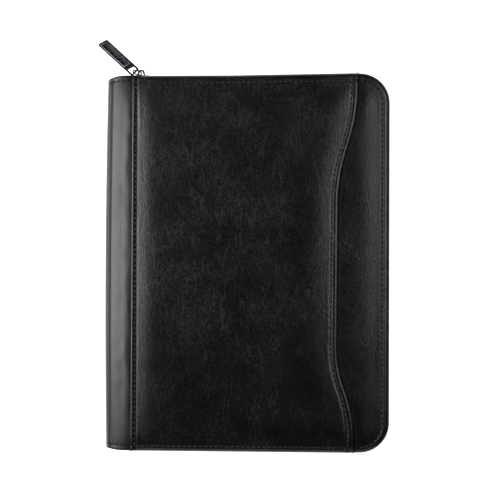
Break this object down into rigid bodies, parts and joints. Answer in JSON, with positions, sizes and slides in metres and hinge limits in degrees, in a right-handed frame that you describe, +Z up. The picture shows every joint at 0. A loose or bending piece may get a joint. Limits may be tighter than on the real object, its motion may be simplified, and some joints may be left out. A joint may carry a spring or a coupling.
{
  "type": "zippered padfolio",
  "caption": "Closed zip-around padfolio in padded black leather with a curved slash pocket on its front, opening like a book to a writing pad, inner pockets and a pen loop.",
  "frame": {"origin": "middle of the back cover's flat face, on the surface it lies on", "axes": "+X from the spine to the zip side, +Y to the top edge of the case, +Z up through the front cover"},
  "size_m": [0.2602, 0.3659, 0.032],
  "materials": {
    "black_leather": "satin black bonded leather, fine creased grain",
    "inner_leather": "matte black leatherette",
    "foam": "thin foam padding",
    "board": "grey stiffening board",
    "stiffener": "flexible plastic strip",
    "lining": "fine woven black lining",
    "elastic": "ribbed black elastic",
    "zip_tape": "woven black zip tape",
    "zip_coil": "black nylon coil",
    "zip_metal": "gunmetal black plating",
    "pull_metal": "satin gunmetal black plating with brighter worn edges",
    "pad_board": "grey-brown chipboard",
    "paper": "white ruled writing paper",
    "pad_header": "black binding tape"
  },
  "bodies": {
    "back_cover": {"back_cover_panel": "black_leather", "back_spine_flap": "black_leather", "back_padding": "foam", "back_board": "board", "back_lining": "lining", "pad_pocket": "inner_leather", "pen_loop": "elastic", "zip_tape_back": "zip_tape", "zip_coil_back": "zip_coil", "zip_top_stop_back": "zip_metal", "zip_bottom_stop": "zip_metal"},
    "spine": {"spine_skin": "black_leather", "spine_stiffener": "stiffener", "spine_lining": "lining"},
    "front_cover": {"front_main_panel": "black_leather", "front_side_panel": "black_leather", "front_pocket_lining": "lining", "front_spine_flap": "black_leather", "front_padding": "foam", "front_board": "board", "front_lining": "lining", "document_pocket": "inner_leather", "card_pocket_upper": "inner_leather", "card_pocket_middle": "inner_leather", "card_pocket_lower": "inner_leather", "zip_tape_front": "zip_tape", "zip_coil_front": "zip_coil", "zip_top_stop_front": "zip_metal"},
    "zip_slider": {"zip_slider_body": "zip_metal", "zip_slider_bail": "zip_metal"},
    "link_ring": {"pull_link_ring": "zip_metal"},
    "pull_tab": {"zip_pull_tab": "pull_metal"},
    "writing_pad": {"pad_backing_board": "pad_board", "pad_sheets": "paper", "pad_header_tape": "pad_header"}
  },
  "joints": [
    {"name": "spine_fold", "type": "hinge", "parent": "back_cover", "child": "spine", "pos_m": [-0.1204, 0, 0.0088], "axis": [0, -1, 0], "range_deg": [0, 90]},
    {"name": "cover_fold", "type": "hinge", "parent": "spine", "child": "front_cover", "pos_m": [-0.1204, 0, 0.0232], "axis": [0, -1, 0], "range_deg": [0, 90]},
    {"name": "zip_slide", "type": "slide", "parent": "back_cover", "child": "zip_slider", "axis": [1, 0, 0], "range_m": [0, 0.185]},
    {"name": "ring_swing", "type": "hinge", "parent": "zip_slider", "child": "link_ring", "pos_m": [-0.0956, 0.16842, 0.015], "axis": [0, 0, 1], "range_deg": [-112, 0]},
    {"name": "tab_flap", "type": "hinge", "parent": "link_ring", "child": "pull_tab", "pos_m": [-0.10126, 0.16983, 0.015], "axis": [0.6756, 0.7373, 0], "range_deg": [-65, 105]},
    {"name": "pad_slide", "type": "slide", "parent": "back_cover", "child": "writing_pad", "axis": [0, 1, 0], "range_m": [0, 0.01]}
  ],
  "couplings": [
    {"joint": "cover_fold", "follows": "spine_fold", "ratio": 1}
  ]
}
